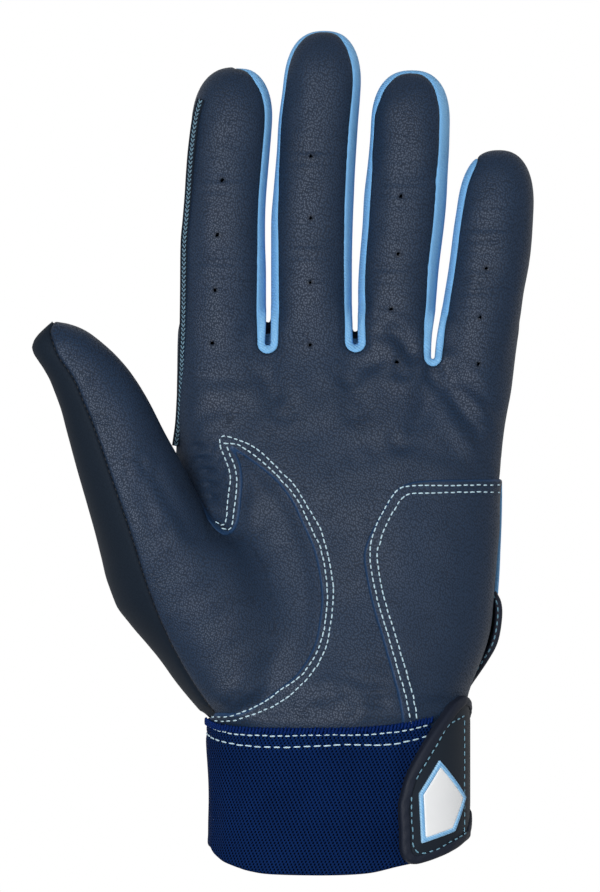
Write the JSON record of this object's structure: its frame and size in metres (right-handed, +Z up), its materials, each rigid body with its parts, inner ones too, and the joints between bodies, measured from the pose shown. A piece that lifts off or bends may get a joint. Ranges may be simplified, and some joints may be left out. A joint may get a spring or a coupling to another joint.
{
  "type": "batting glove",
  "caption": "Left-hand leather batting glove lying palm up, with light-blue finger sidewalls, an elastic wrist cuff and a wrap-over closure strap carrying a blank five-sided number patch.",
  "frame": {"origin": "below the middle of the glove's bounding box, on the surface that its back lies on", "axes": "+X across the palm towards the little finger, +Y along the palm towards the fingertips, +Z up, out of the palm"},
  "size_m": [0.1363, 0.23, 0.0459],
  "materials": {
    "navy_leather": "satin grained navy leather",
    "dark_leather": "smooth dark navy leather",
    "sky_leather": "matt light-blue leather",
    "cuff_knit": "ribbed elastic knit",
    "pile": "hook and loop pile",
    "badge": "matt white write-on patch"
  },
  "bodies": {
    "hand": {"palm_leather": "navy_leather", "back_leather": "navy_leather", "heel_patch": "navy_leather", "thumb_palm_leather": "navy_leather", "thumb_base_side": "dark_leather", "thumb_base_back": "navy_leather", "back_flap": "dark_leather", "flap_binding": "dark_leather", "index_middle_crotch": "sky_leather", "middle_ring_crotch": "sky_leather", "ring_little_crotch": "sky_leather", "cuff_band": "cuff_knit", "loop_patch": "pile", "strap_base": "dark_leather"},
    "strap": {"closure_strap": "dark_leather", "strap_binding": "dark_leather", "hook_patch": "pile", "badge_border": "sky_leather", "badge_plate": "badge"},
    "index_finger": {"index_front": "navy_leather", "index_back": "navy_leather", "index_right_side": "sky_leather"},
    "middle_finger": {"middle_front": "navy_leather", "middle_back": "navy_leather", "middle_left_side": "sky_leather", "middle_right_side": "sky_leather"},
    "ring_finger": {"ring_front": "navy_leather", "ring_back": "navy_leather", "ring_left_side": "sky_leather", "ring_right_side": "sky_leather"},
    "little_finger": {"little_front": "navy_leather", "little_back": "navy_leather", "little_left_side": "sky_leather"},
    "thumb": {"thumb_front": "navy_leather", "thumb_side": "dark_leather", "thumb_back": "navy_leather"}
  },
  "joints": [
    {"name": "strap_peel", "type": "hinge", "parent": "hand", "child": "strap", "pos_m": [0.04559, -0.085, 0.01], "axis": [0, 1, 0], "range_deg": [0, 95]},
    {"name": "index_flex", "type": "hinge", "parent": "hand", "child": "index_finger", "pos_m": [-0.01602, 0.03034, 0.0207], "axis": [0.999, -0.0454, 0], "range_deg": [0, 75]},
    {"name": "middle_flex", "type": "hinge", "parent": "hand", "child": "middle_finger", "pos_m": [0.00809, 0.03034, 0.0211], "axis": [0.9991, -0.0419, 0], "range_deg": [0, 75]},
    {"name": "ring_flex", "type": "hinge", "parent": "hand", "child": "ring_finger", "pos_m": [0.03109, 0.02934, 0.0207], "axis": [0.9983, -0.0576, 0], "range_deg": [0, 75]},
    {"name": "little_flex", "type": "hinge", "parent": "hand", "child": "little_finger", "pos_m": [0.05289, 0.02634, 0.0197], "axis": [0.9907, -0.1357, 0], "range_deg": [0, 75]},
    {"name": "thumb_flex", "type": "hinge", "parent": "hand", "child": "thumb", "pos_m": [-0.03982, -0.00876, 0.0461], "axis": [0.9298, 0.3681, 0], "range_deg": [0, 55]}
  ]
}
